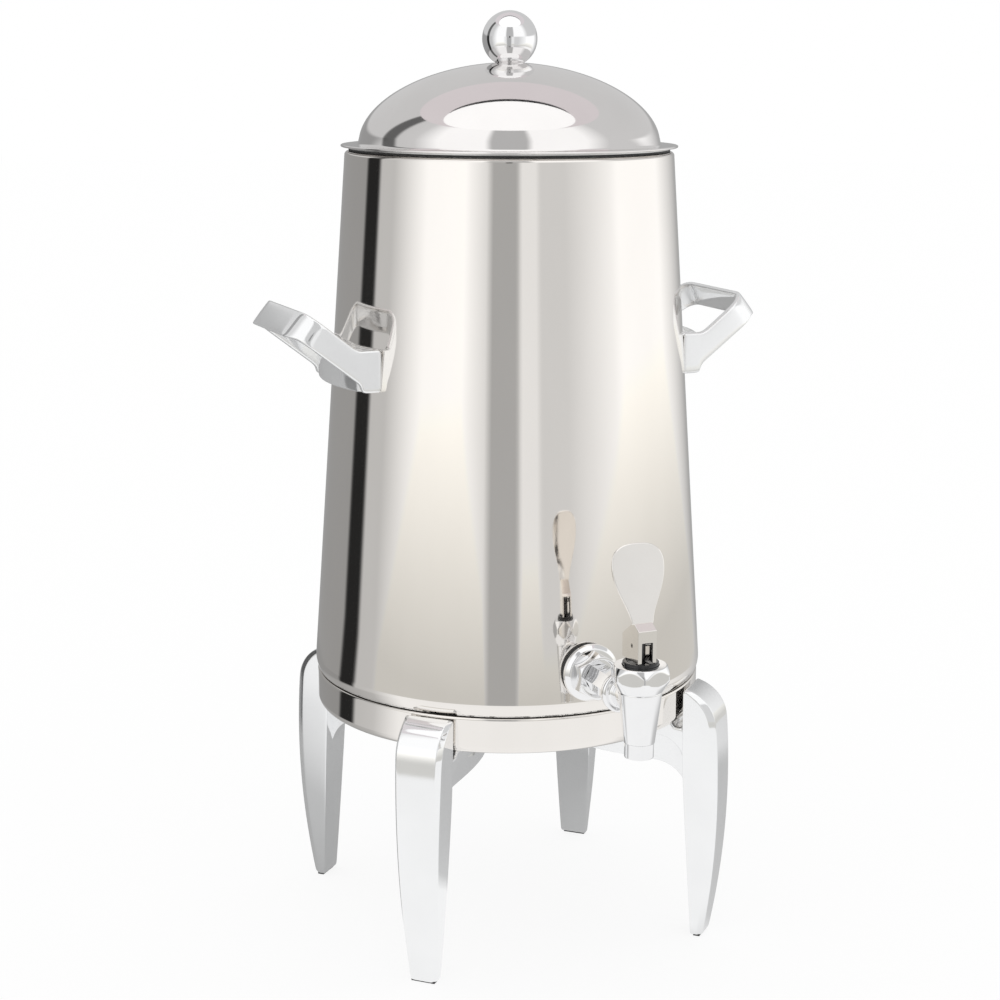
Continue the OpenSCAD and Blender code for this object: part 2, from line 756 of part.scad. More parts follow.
tap_top = outlet_z + tap_up;
tap_low = outlet_z - tap_down;
tip_z = tap_low - spout_len;
seat_z = outlet_z - seat_drop;
screw_neck_h = 8;
bonnet_z = tap_top;
bonnet_top = bonnet_z + bonnet_h;
bonnet_bore_h = screw_neck_h + 0.5;
gland_top = bonnet_top + gland_up;
neck_out_r = chamber_r + 2.6;
branch_r = min(collar_r, tap_up) - weld_gap;
gland_plug_r = 6;
gland_seat = bonnet_top - 2;
cup_z = seat_z + 1.3;
collar_z = cup_z + cup_h;
stem_collar_h = 2;
spring_z = collar_z + stem_collar_h;
spring_top = bonnet_z + bonnet_bore_h;
pin_z = gland_top + fork_gap + pin_h;

module on_tap() { translate([0, -tap_reach, 0]) children(); }

module tap_body() {
    color("#dcdcde") {
        difference() {
            union() {
                on_tap() {
                    translate([0, 0, tap_low]) cylinder(r1 = tap_low_r, r2 = tap_top_r, h = tap_top - tap_low);
                    disc(spout_r, tip_z, spout_len + 3);
                    disc(neck_out_r, tap_top - 1, screw_neck_h + 1);
                }
                along_outlet() {
                    revolve(rounded([[0, collar_at, 0], [collar_r, collar_at, 2.6], [collar_r, collar_at + collar_len, 2.6],
                        [0, collar_at + collar_len, 0]]));
                    disc(branch_r, collar_at + 1, tap_reach - collar_at - 1);
                }
            }
            on_tap() {
                disc(chamber_r, seat_z, tap_top + screw_neck_h - seat_z + 1);
                disc(spout_bore_r, tip_z - 1, seat_z - tip_z + 2);
            }
            along_outlet() {
                disc(nose_r, collar_at - 1, 4);
                disc(shank_bore_r, collar_at, tap_reach - collar_at);
            }
        }
        on_tap() ring(spout_bore_r + 1, spout_bore_r, seat_z, 1);
    }
}

module bonnet() {
    color("#dcdcde") on_tap() difference() {
        intersection() {
            rotate(bonnet_turn) hex(bonnet_af, bonnet_z, bonnet_h);
            revolve(rounded([[0, bonnet_z, 0], [tap_top_r + 1, bonnet_z, 0], [bonnet_af / 2 + 2, bonnet_z + 9, 3],
                [bonnet_af / 2 + 2, bonnet_top - 5, 3], [bonnet_af / 2 - 1, bonnet_top, 0], [0, bonnet_top, 0]]));
        }
        disc(neck_out_r + thread_gap, bonnet_z - 1, bonnet_bore_h + 1);
        disc(gland_plug_r + thread_gap, bonnet_z, bonnet_h + 1);
        disc(gland_r + 0.2, gland_seat, 5);
    }
}

// Dished gland that closes the bonnet and guides the stem
gland_plug_h = 5;
module gland() {
    color("#232325") on_tap() revolve([
        [stem_r + stem_fit, gland_seat - gland_plug_h], [gland_plug_r, gland_seat - gland_plug_h],
        [gland_plug_r, gland_seat], [gland_r - 0.8, gland_seat], [gland_r, gland_seat + 1.5],
        [gland_r, gland_top - 0.6], [gland_r - 0.6, gland_top], [stem_r + stem_fit, gland_top]]);
}

cup_socket = 5.5;
stem_head = pin_r + 3;
module stem() {
    color("#3a3a3c") on_tap() difference() {
        union() {
            disc(stem_r, collar_z - cup_socket, pin_z + stem_head - collar_z + cup_socket);
            disc(coil_r + wire_d / 2, collar_z, stem_collar_h);
        }
        translate([0, 0, pin_z]) rotate([0, 90, 0]) translate([0, 0, -stem_r - 1])
            cylinder(r = pin_r, h = 2 * stem_r + 2);
    }
}

module seat_cup() {
    color("#e8e6df") on_tap() difference() {
        revolve(rounded([[0, cup_z, 0], [cup_r - 1, cup_z, 1.5], [cup_r, cup_z + 3, 0], [cup_r, collar_z, 0],
            [0, collar_z, 0]]));
        disc(stem_r, collar_z - cup_socket, cup_socket + 1);
    }
}

// A helical tube: rings of points along the coil, closed at both ends
coil_steps = 16;
wire_sides = 8;
module valve_spring() {
    rings = turns * coil_steps;
    low = spring_z + wire_d / 2 + 0.1;
    high = spring_top - wire_d / 2 - 0.1;
    points = [for (i = [0:rings], k = [0:wire_sides - 1]) let (
        a = 360 * i / coil_steps, b = 360 * k / wire_sides, r = coil_r + wire_d / 2 * cos(b))
        [r * cos(a), r * sin(a), low + (high - low) * i / rings + wire_d / 2 * sin(b)]];
    sides = [for (i = [0:rings - 1], k = [0:wire_sides - 1]) let (
        a = i * wire_sides + k, b = i * wire_sides + (k + 1) % wire_sides)
        [a, b, b + wire_sides, a + wire_sides]];
    ends = [[for (k = [wire_sides - 1:-1:0]) k], [for (k = [0:wire_sides - 1]) rings * wire_sides + k]];
    color("#b0b0ae") on_tap() polyhedron(points, concat(sides, ends));
}

// ---- Lever: side views have x towards the urn and y as height above the fork's lower edge ----

fork_z = gland_top + fork_gap;
ridge_x = -2;
function fork_side() = [
    [-fork_front, 0], [fork_back, 0], [fork_back, fork_h - 8], [fork_back - 1, fork_h - 6.5],
    [ridge_x + 2, fork_h + 3], [ridge_x - 1, fork_h + 3], [-fork_front - 1, fork_h - 1], [-fork_front - 1, 1.2]];
function fork_hollow() = [
    [-fork_front - 1 + fork_t, -1], [fork_back + 2, -1], [fork_back + 2, fork_h - 8 - fork_t],
    [ridge_x + 2, fork_h + 2.6 - fork_t], [ridge_x - 1, fork_h + 2.6 - fork_t],
    [-fork_front - 1 + fork_t, fork_h - 1 - fork_t]];
slot_w = 8.2;
slot_h = 14.5;
paddle_steps = 10;

// Half outline of the paddle: rounded blade above, waist running into the neck below
blade_c = paddle_h - blade_h;
function paddle_half() = concat(
    [[neck_w / 2, 0]],
    [for (i = [1:paddle_steps]) let (u = i / paddle_steps)
        [neck_w / 2 + (paddle_w - neck_w) / 2 * (0.5 - cos(180 * pow(u, 0.85)) / 2), blade_c * u]],
    [for (i = [1:paddle_steps]) let (a = 90 * i / paddle_steps)
        [paddle_w / 2 * pow(cos(a), 0.75), blade_c + blade_h * pow(sin(a), 0.85)]]);

module lever() {
    side = [for (p = fork_side()) [-p.x, p.y]];
    hollow = [for (p = fork_hollow()) [-p.x, p.y]];
    outline = paddle_half();
    color("#cfcac4") on_tap() translate([0, 0, fork_z]) {
        difference() {
            rotate([90, 0, -90]) translate([0, 0, -fork_w / 2]) linear_extrude(fork_w) polygon(side);
            rotate([90, 0, -90]) translate([0, 0, -fork_w / 2 + fork_t])
                linear_extrude(fork_w - 2 * fork_t) polygon(hollow);
            translate([-slot_w / 2, -fork_front - 4, -1]) cube([slot_w, 7, slot_h + 1]);
            translate([-fork_w, 0, pin_h]) rotate([0, 90, 0]) cylinder(r = pin_r + pin_fit, h = 2 * fork_w);
        }
        translate([0, ridge_x, fork_h + 2.2]) rotate([90 - paddle_lean, 0, 0])
            translate([0, 0, -paddle_t / 2]) linear_extrude(paddle_t)
                polygon(concat(outline, flip([for (p = outline) [-p.x, p.y]])));
    }
}

module pivot_pin() {
    color("#a9a9a7") on_tap() translate([-fork_w / 2, 0, pin_z]) rotate([0, 90, 0])
        cylinder(r = pin_r, h = fork_w);
}

outer_shell();
inner_tank();
mouth_ring();
jacket_base();
tank_support();
getter_cap();
vessel_studs();
vessel_nuts();
seam_gasket();
base_band();
base_plate();
leg_front_left();
leg_front_right();
leg_rear_right();
leg_rear_left();
foot_glides();
leg_screws();
leg_nuts();
handle_left();
handle_right();
handle_studs();
handle_set_screws();
outlet_pipe();
shell_washer();
flange_nut();
shank();
shank_gasket();
tap_body();
bonnet();
gland();
stem();
seat_cup();
valve_spring();
lever();
pivot_pin();
lid_dome();
lid_liner();
lid_gasket();
lid_knob();
knob_screw();
knob_washer();
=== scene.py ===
import bpy
import bmesh
import json
import math
from mathutils import Matrix, Vector


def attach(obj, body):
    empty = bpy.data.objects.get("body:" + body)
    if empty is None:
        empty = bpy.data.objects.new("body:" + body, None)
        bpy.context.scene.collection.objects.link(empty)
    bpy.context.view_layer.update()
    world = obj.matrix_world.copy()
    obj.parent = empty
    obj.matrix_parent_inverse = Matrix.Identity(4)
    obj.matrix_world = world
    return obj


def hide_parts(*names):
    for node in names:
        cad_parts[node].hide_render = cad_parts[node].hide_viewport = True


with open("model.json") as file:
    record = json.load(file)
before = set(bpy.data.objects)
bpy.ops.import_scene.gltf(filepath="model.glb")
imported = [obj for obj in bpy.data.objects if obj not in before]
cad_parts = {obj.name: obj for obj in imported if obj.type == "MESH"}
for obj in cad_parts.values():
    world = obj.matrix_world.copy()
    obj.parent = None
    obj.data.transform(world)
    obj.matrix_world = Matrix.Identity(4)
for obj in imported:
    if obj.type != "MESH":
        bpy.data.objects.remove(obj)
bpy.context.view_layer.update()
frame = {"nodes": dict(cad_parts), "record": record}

mm = 0.001
nodes = frame["nodes"]


# shared modelling helpers, sizes in millimetres

def arc(cx, cz, radius, start, end, steps):
    turns = [math.radians(start + (end - start) * i / steps) for i in range(steps + 1)]
    return [(cx + radius * math.cos(a), cz + radius * math.sin(a)) for a in turns]


def roundCorner(before, here, after, radius, steps, support):
    p, a, b = Vector(here), Vector(before), Vector(after)
    u, v = (a - p).normalized(), (b - p).normalized()
    half = u.angle(v) / 2
    reach = radius / math.tan(half)
    centre = p + (u + v).normalized() * radius / math.sin(half)
    start, end = p + u * reach - centre, p + v * reach - centre
    turn = 1 if start.x * end.y - start.y * end.x > 0 else -1
    sweep = turn * (math.pi - 2 * half)
    points = []
    for i in range(steps + 1):
        c, s = math.cos(sweep * i / steps), math.sin(sweep * i / steps)
        points.append(centre + Vector((start.x * c - start.y * s, start.x * s + start.y * c)))
    lead = min(support, (a - p).length - reach - 0.01)
    trail = min(support, (b - p).length - reach - 0.01)
    if lead > 0.03:
        points.insert(0, p + u * (reach + lead))  # keeps the straight run straight in a mirror finish
    if trail > 0.03:
        points.append(p + v * (reach + trail))
    return [tuple(q) for q in points]


def softLine(corners, closed=True, steps=7, support=0.8):
    # corners are (x, z) or (x, z, radius)
    line = []
    for i, corner in enumerate(corners):
        if len(corner) < 3 or corner[2] == 0 or (not closed and i in (0, len(corners) - 1)):
            line.append(tuple(corner[:2]))
            continue
        before, after = corners[i - 1][:2], corners[(i + 1) % len(corners)][:2]
        line += roundCorner(before, corner[:2], after, corner[2], steps, support)
    return line


def lineToMesh(points, closed, place):
    bm = bmesh.new()
    verts = [bm.verts.new(place(p)) for p in points]
    for a, b in zip(verts, verts[1:] + verts[:1] if closed else verts[1:]):
        bm.edges.new((a, b))
    return bm


def spinLine(points, closed=True, steps=192):
    bm = lineToMesh(points, closed, lambda p: (p[0] * mm, 0, p[1] * mm))
    bmesh.ops.spin(bm, geom=bm.verts[:] + bm.edges[:], cent=(0, 0, 0), axis=(0, 0, 1), dvec=(0, 0, 0),
                   angle=math.tau, steps=steps, use_merge=True, use_duplicate=False)
    bmesh.ops.remove_doubles(bm, verts=bm.verts[:], dist=2e-6)
    bmesh.ops.recalc_face_normals(bm, faces=bm.faces[:])
    return bm


def slab(points, thickness, place):
    # a flat outline given a thickness, centred on its own plane
    bm = bmesh.new()
    face = bm.faces.new([bm.verts.new((x * mm, y * mm, -thickness / 2 * mm)) for x, y in points])
    grown = bmesh.ops.extrude_face_region(bm, geom=[face])
    raised = [g for g in grown["geom"] if isinstance(g, bmesh.types.BMVert)]
    bmesh.ops.translate(bm, vec=(0, 0, thickness * mm), verts=raised)
    bmesh.ops.recalc_face_normals(bm, faces=bm.faces[:])
    bmesh.ops.transform(bm, matrix=place, verts=bm.verts[:])
    return bm


def loft(stations, edge, segments=2):
    # a bar drawn station by station: each station lists its corners (x, y, z)
    bm = bmesh.new()
    ring = [bm.verts.new([c * mm for c in p]) for p in stations[0]]
    face = bm.faces.new(ring)
    rings = [ring]
    for station in stations[1:]:
        grown = bmesh.ops.extrude_face_region(bm, geom=[face])
        verts = [g for g in grown["geom"] if isinstance(g, bmesh.types.BMVert)]
        nextFace = [g for g in grown["geom"] if isinstance(g, bmesh.types.BMFace)][0]
        if face.is_valid and len(rings) > 1:
            bmesh.ops.delete(bm, geom=[face], context="FACES_ONLY")
        nextRing = [min(verts, key=lambda v: (v.co - old.co).length) for old in rings[-1]]
        for vert, p in zip(nextRing, station):
            vert.co = [c * mm for c in p]
        rings.append(nextRing)
        face = nextFace
    bmesh.ops.recalc_face_normals(bm, faces=bm.faces[:])
    runs = []
    for a, b in zip(rings, rings[1:]):
        runs += [bm.edges.get((v, w)) for v, w in zip(a, b)]
    bevelEdges(bm, [e for e in runs if e], edge, segments)
    return bm


def bevelEdges(bm, edges, width, segments):
    bmesh.ops.bevel(bm, geom=edges, offset=width * mm, offset_type="OFFSET", segments=segments, profile=0.5,
                    affect="EDGES", clamp_overlap=True, material=-1)


def sharpEdges(bm, degrees):
    return [e for e in bm.edges if len(e.link_faces) == 2 and e.calc_face_angle(0) > math.radians(degrees)]


def onTap(bm):
    bmesh.ops.translate(bm, vec=(0, -tapSizes["reach"] * mm, 0), verts=bm.verts[:])
    return bm


def alongOutlet(bm):
    place = Matrix.Translation((0, 0, tapSizes["outletZ"] * mm)) @ Matrix.Rotation(math.pi / 2, 4, "X")
    bmesh.ops.transform(bm, matrix=place, verts=bm.verts[:])
    return bm


def join(meshes):
    whole = bmesh.new()
    for bm in meshes:
        part = bpy.data.meshes.new("part")
        bm.to_mesh(part)
        whole.from_mesh(part)
        bpy.data.meshes.remove(part)
        bm.free()
    return whole


def facet(bm, flats, width, turn, soft):
    # presses flats into a turned piece, with softly rounded corners between them
    pitch = math.tau / flats
    for v in bm.verts:
        x, y = v.co.x, v.co.y
        reach = math.hypot(x, y)
        if reach < 1e-6:
            continue
        off = (math.atan2(y, x) - math.radians(turn)) % pitch - pitch / 2
        flat = width / 2 * mm / math.cos(off)
        blend = soft * mm
        h = max(0, min(1, 0.5 + (flat - reach) / (2 * blend)))
        limit = flat + (reach - flat) * h - blend * h * (1 - h)
        v.co.x, v.co.y = x * limit / reach, y * limit / reach
    return bm


def newPiece(name, bm, finish, body, replaced=(), smooth=35, subdivide=0, weighted=False):
    for face in bm.faces:
        face.smooth = True
    if smooth:
        for edge in sharpEdges(bm, smooth):
            edge.smooth = False
    mesh = bpy.data.meshes.new(name)
    bm.to_mesh(mesh)
    bm.free()
    mesh.materials.append(finish)
    piece = bpy.data.objects.new(name, mesh)
    bpy.context.scene.collection.objects.link(piece)
    if subdivide:
        rounding = piece.modifiers.new("rounding", "SUBSURF")
        rounding.levels = rounding.render_levels = subdivide
    if weighted:
        piece.modifiers.new("evenShading", "WEIGHTED_NORMAL").keep_sharp = True
    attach(piece, body)
    if replaced:
        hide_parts(*replaced)


# finishes

def newFinish(name, **uniform):
    finish = bpy.data.materials.new(name)
    finish.use_nodes = True
    tree = finish.node_tree
    shader = tree.nodes["Principled BSDF"]
    for socket, value in uniform.items():
        shader.inputs[socket.replace("_", " ")].default_value = value
    return finish, tree, shader


def pattern(tree, scale, detail, stretch=(1, 1, 1)):
    place = tree.nodes.new("ShaderNodeTexCoord")
    fit = tree.nodes.new("ShaderNodeMapping")
    fit.inputs["Scale"].default_value = stretch
    noise = tree.nodes.new("ShaderNodeTexNoise")
    noise.inputs["Scale"].default_value = scale
    noise.inputs["Detail"].default_value = detail
    tree.links.new(place.outputs["Object"], fit.inputs["Vector"])
    tree.links.new(fit.outputs["Vector"], noise.inputs["Vector"])
    return noise


def spread(tree, source, low, high, target):
    ramp = tree.nodes.new("ShaderNodeMapRange")
    ramp.inputs["To Min"].default_value = low
    ramp.inputs["To Max"].default_value = high
    tree.links.new(source, ramp.inputs["Value"])
    tree.links.new(ramp.outputs["Result"], target)


def shade(tree, source, dark, light, target, low=0.3, high=0.7):
    ramp = tree.nodes.new("ShaderNodeValToRGB")
    ramp.color_ramp.elements[0].position, ramp.color_ramp.elements[1].position = low, high
    ramp.color_ramp.elements[0].color = (*dark, 1)
    ramp.color_ramp.elements[1].color = (*light, 1)
    tree.links.new(source, ramp.inputs["Fac"])
    tree.links.new(ramp.outputs["Color"], target)


def relief(tree, shader, source, strength, depth):
    bump = tree.nodes.new("ShaderNodeBump")
    bump.inputs["Strength"].default_value = strength
    bump.inputs["Distance"].default_value = depth
    tree.links.new(source, bump.inputs["Height"])
    tree.links.new(bump.outputs["Normal"], shader.inputs["Normal"])


def metal(name, dark, light, rough, scale=60, stretch=(1, 1, 1), bump=0.0, depth=0.0002, metallic=1.0):
    finish, tree, shader = newFinish(name, Metallic=metallic)
    cloud = pattern(tree, scale, 3, stretch)
    shade(tree, cloud.outputs["Fac"], dark, light, shader.inputs["Base Color"])
    spread(tree, cloud.outputs["Fac"], rough[0], rough[1], shader.inputs["Roughness"])
    if bump:
        relief(tree, shader, cloud.outputs["Fac"], bump, depth)
    return finish


def moulded(name, dark, light, rough, scale=300, bump=0.1, depth=0.0001, **uniform):
    finish, tree, shader = newFinish(name, **uniform)
    grain = pattern(tree, scale, 4)
    shade(tree, grain.outputs["Fac"], dark, light, shader.inputs["Base Color"])
    spread(tree, grain.outputs["Fac"], rough[0], rough[1], shader.inputs["Roughness"])
    relief(tree, shader, grain.outputs["Fac"], bump, depth)
    return finish


mirrorSteel = metal("mirrorSteel", (0.875, 0.845, 0.81), (0.90, 0.87, 0.835), (0.035, 0.06), 24, (1, 1, 0.25))
domeSteel = metal("domeSteel", (0.86, 0.84, 0.83), (0.885, 0.865, 0.855), (0.04, 0.065), 30)
castChrome = metal("castChrome", (0.91, 0.915, 0.92), (0.93, 0.935, 0.94), (0.03, 0.06), 45,
                   bump=0.05, depth=0.0004, metallic=0.72)
legChrome = metal("legChrome", (0.90, 0.905, 0.91), (0.925, 0.93, 0.935), (0.04, 0.07), 30,
                  bump=0.05, depth=0.0005, metallic=0.9)
tapChrome = metal("tapChrome", (0.90, 0.90, 0.905), (0.925, 0.925, 0.93), (0.025, 0.05), 80)
leverSteel = metal("leverSteel", (0.93, 0.905, 0.87), (0.95, 0.925, 0.89), (0.06, 0.10), 90)
satinSteel = metal("satinSteel", (0.56, 0.56, 0.55), (0.66, 0.66, 0.65), (0.26, 0.38), 140, (1, 1, 12), 0.15, 0.00008)
plainSteel = metal("plainSteel", (0.50, 0.50, 0.49), (0.60, 0.60, 0.59), (0.34, 0.48), 90, (1, 1, 1), 0.2, 0.0001)
boltSteel = metal("boltSteel", (0.52, 0.52, 0.51), (0.62, 0.62, 0.60), (0.28, 0.42), 220, (1, 1, 1), 0.15, 0.00008)
# stem steel coloured near black: painted shade, standing in for the shade inside the lever slot
slotShadedStemSteel = metal("slotShadedStemSteel", (0.07, 0.07, 0.072), (0.13, 0.13, 0.135), (0.25, 0.35), 200, (1, 1, 6), 0.1, 0.00005)
blackRubber = moulded("blackRubber", (0.018, 0.018, 0.018), (0.032, 0.032, 0.032), (0.55, 0.72), 500, 0.25, 0.00008)
blackPlastic = moulded("blackPlastic", (0.012, 0.012, 0.013), (0.022, 0.022, 0.024), (0.12, 0.22), 260, 0.04, 0.00005)
paleSilicone = moulded("paleSilicone", (0.74, 0.72, 0.66), (0.82, 0.80, 0.74), (0.45, 0.6), 200, 0.1, 0.00008)
fibreRing = moulded("fibreRing", (0.34, 0.31, 0.24), (0.48, 0.44, 0.35), (0.75, 0.9), 160, 0.5, 0.0004)
print("finishes ready")


# vessel: shell, band and the seam between them

vesselSizes = {"topR": 124.3, "footZ": 204.5, "topZ": 604.5, "sheet": 1.2, "turnR": 151.54, "turnZ": 209.96,
               "edgeR": 149.19, "footRoll": 21, "footLip": 135.5, "shoulder": 3, "mouthR": 113.6,
               "bandR": 150, "bandZ": 175.8, "bandH": 27.7, "bandRoll": 6, "bandEdge": 1.5, "bandLip": 136.3}


def makeShell(s):
    t = s["sheet"]
    corners = [(s["mouthR"], s["topZ"]), (s["topR"], s["topZ"], s["shoulder"]),
               (s["turnR"], s["turnZ"], s["footRoll"]), (s["edgeR"], s["footZ"], 0.5),
               (s["footLip"], s["footZ"]), (s["footLip"], s["footZ"] + t), (s["edgeR"] - 0.8, s["footZ"] + t),
               (s["turnR"] - t, s["turnZ"] + 0.6, 19), (s["topR"] - t, s["topZ"] - t, s["shoulder"] - t),
               (s["mouthR"], s["topZ"] - t)]
    return spinLine(softLine(corners, steps=10), steps=256)


def makeBand(s):
    t, top = s["sheet"], s["bandZ"] + s["bandH"]
    corners = [(s["bandLip"], top), (s["bandR"], top, s["bandEdge"]),
               (s["bandR"], s["bandZ"], s["bandRoll"]), (s["bandLip"], s["bandZ"]),
               (s["bandLip"], s["bandZ"] + t), (s["bandR"] - t, s["bandZ"] + t, s["bandRoll"] - t),
               (s["bandR"] - t, top - t, 0.3), (s["bandLip"], top - t)]
    return spinLine(softLine(corners, steps=10), steps=256)


newPiece("shell", makeShell(vesselSizes), mirrorSteel, "urn", ["outer_shell"])
newPiece("band", makeBand(vesselSizes), mirrorSteel, "urn", ["base_band"])
print("vessel made")


# lid: dome with its rim, and the ball knob on its neck

lidSizes = {"rimZ": 607.5, "rimR": 127.3, "bead": 0.85, "domeR": 113.5, "domeZ": 610.9, "domeH": 59, "form": 1.06,
            "sheet": 1.2, "ballR": 20.7, "ballZ": 687.1, "neckR": 10.2, "neckSunk": 0.5}


def makeDome(s):
    z, t, b = s["rimZ"], s["sheet"], s["bead"]
    steps = 64

    def dome(inset):
        rise = [math.radians(90 * i / steps) for i in range(3, steps)]
        r, h = s["domeR"] - inset, s["domeH"] - inset
        line = [(r * math.cos(a) ** s["form"], s["domeZ"] + h * math.sin(a) ** s["form"]) for a in rise]
        return line + [(0, s["domeZ"] + s["domeH"] - inset)]

    outside, inside = dome(0), dome(t)
    rim = arc(s["rimR"] - b, z + b, b, -90, 110, 12)
    fillet = softLine([(s["rimR"] - 3.2, z + 1.45), (s["domeR"] + 1.1, z + 1.5, 2.2), outside[0]], closed=False,
                      steps=10, support=0.4)
    under = [(s["domeR"] - t - 0.2, z + 2.2), (s["domeR"] + 0.6, z + 0.1)]
    return spinLine(rim + fillet + outside[1:] + inside[::-1] + under, closed=False, steps=256)


def makeKnob(s):
    z, r, neck = s["ballZ"], s["ballR"], s["neckR"]
    low = s["domeZ"] + s["domeH"] - s["neckSunk"]
    start = -math.degrees(math.acos(neck / r))
    ball = arc(0, z, r, start + 1.5, 90, 60)
    ballLow = z + r * math.sin(math.radians(start))
    foot = softLine([(0, low), (neck + 0.35, low, 0.3), (neck, low + 0.8, 0.4), (neck, ballLow - 0.4)], closed=False,
                    steps=5, support=0.2)
    return spinLine(foot + ball, closed=False, steps=128)


newPiece("lidDome", makeDome(lidSizes), domeSteel, "lid", ["lid_dome"], smooth=50)
newPiece("lidKnob", makeKnob(lidSizes), tapChrome, "lid", ["lid_knob"], smooth=50)
print("lid made")


# legs: bowed castings that carry the band on an arm

legSizes = {"footOut": 168.8, "footIn": 159.8, "footW": 22.6, "topW": 37.6, "swell": 1.5, "out": 177.9, "bow": 6,
            "inside": 151.9, "shoulderZ": 172.65, "shoulderR": 30, "filletZ": 142.8, "topZ": 202.65, "glide": 0.8,
            "bevelDepth": 5, "bevelW": 3, "edge": 1.1, "armTop": 175.6, "armLow": 163.8, "armEnd": 48, "fillet": 21,
            "webLow": 139.8, "webW": 13, "webCurve": 27, "webCurveX": 127.1, "widthZ": 203.5, "armEdge": 1.6}


def makeLeg(s):
    def width(z):
        u = z / s["widthZ"]
        return (s["footW"] + (s["topW"] - s["footW"]) * u) / 2 + 4 * s["swell"] * u * (1 - u)

    def outer(z):
        u = z / s["shoulderZ"]
        return s["footOut"] + (s["out"] - s["footOut"]) * u + 4 * s["bow"] * u * (1 - u)

    def inner(z):
        return s["footIn"] + (s["inside"] - s["footIn"]) * min(1, z / s["filletZ"])

    def bar(a, b, trim=0.0):
        wa, wb = width(a[1]) - trim, width(b[1]) - trim
        return [(a[0], -wa, a[1]), (a[0], wa, a[1]), (b[0], wb, b[1]), (b[0], -wb, b[1])]

    def post(a, b, trim=0.0):
        # the two outer corners of the section are bevelled
        out, back = Vector(a), Vector(b)
        depth = min(s["bevelDepth"], (back - out).length * 0.42)
        side = out + (back - out).normalized() * depth
        front, wide, rear = width(a[1]) - s["bevelW"] - trim, width(side.y) - trim, width(b[1]) - trim
        return [(a[0], -front, a[1]), (a[0], front, a[1]), (side.x, wide, side.y), (b[0], rear, b[1]),
                (b[0], -rear, b[1]), (side.x, -wide, side.y)]

    run = [post((outer(0) - 1.2, s["glide"]), (inner(0) + 1.2, s["glide"]), 1.6),
           post((outer(2) - 0.1, 2), (inner(2), 2), 0.2)]
    run += [post((outer(z), z), (inner(z), z)) for z in (4.5, 12, 28, 50, 75, 100, 124, 146, 162)]
    curve = arc(s["out"] - s["shoulderR"], s["shoulderZ"], s["shoulderR"], 4, 78, 7)
    inside = [(s["inside"], z) for z in (170, 176, 182, 187, 191, 195, 198, 200.2)]
    run += [post(a, b) for a, b in zip(curve, inside)]
    run.append(post((s["inside"] + 1.2, s["topZ"] - 0.6), (s["inside"], s["topZ"] - 1.4), 0.8))

    armFrom = s["inside"] + 0.7 - s["fillet"]
    low = [(x, s["armLow"]) for x in (s["armEnd"], s["armEnd"] + 2, 90, 125)]
    low += arc(armFrom, s["armLow"] - s["fillet"], s["fillet"], 90, 0, 6) + [(s["inside"] + 3.5, 138)]
    high = [(x, s["armTop"]) for x in (s["armEnd"], s["armEnd"] + 2, 90, 125, 134, 140, 143.4)]
    high += [(144.6, s["armTop"] - 3.9), (149, s["armTop"] - 4), (152.4, s["armTop"] - 4.2), (153.6, 168), (156, 164)]
    arm = loft([bar(a, b, 0.5) for a, b in zip(high, low)], s["armEdge"])

    half, curveZ = s["webW"] / 2, s["webLow"] - s["webCurve"]
    webHigh = [(x, s["armLow"] + 2) for x in (s["armEnd"] + 1, 60, 120, 140)]
    webHigh += [(148, 162), (154, 156), (157, 146), (158, 130)]
    webLow = [(s["armEnd"] + 4, 159), (57, s["webLow"] + 2), (112, s["webLow"]), (s["webCurveX"], s["webLow"])]
    webLow += arc(s["webCurveX"], curveZ, s["webCurve"], 68, 2, 3)
    web = loft([[(a[0], -half, a[1]), (a[0], half, a[1]), (b[0], half, b[1]), (b[0], -half, b[1])]
                for a, b in zip(webHigh, webLow)], s["armEdge"])
    return join([loft(run, s["edge"]), arm, web])


for corner, turn in {"front_left": 225, "front_right": 315, "rear_right": 45, "rear_left": 135}.items():
    bm = makeLeg(legSizes)
    bmesh.ops.rotate(bm, cent=(0, 0, 0), matrix=Matrix.Rotation(math.radians(turn), 3, "Z"), verts=bm.verts[:])
    newPiece("leg." + corner, bm, legChrome, "urn", ["leg_" + corner], smooth=0, subdivide=2)
print("legs made")


# handles: a leaning loop each, on a curved foot that follows the shell

handleSizes = {"gripX": 194, "gripZ": 477.5, "half": 55.3, "cornerR": 21, "thick": 7, "outLean": 38.7, "inLean": 23.2,
               "gripT": 11, "footR": 146.5, "footZ": 434.6, "footTop": 466, "footX": 138.2, "shellR": 135.4,
               "slopeX": 145, "lowSlope": 0.767, "highSlope": 0.79, "lowAt": 445.1, "highAt": 468.6, "topZ": 495.3,
               "gripRise": 0.1, "edge": 1.7, "plateHalf": 50}


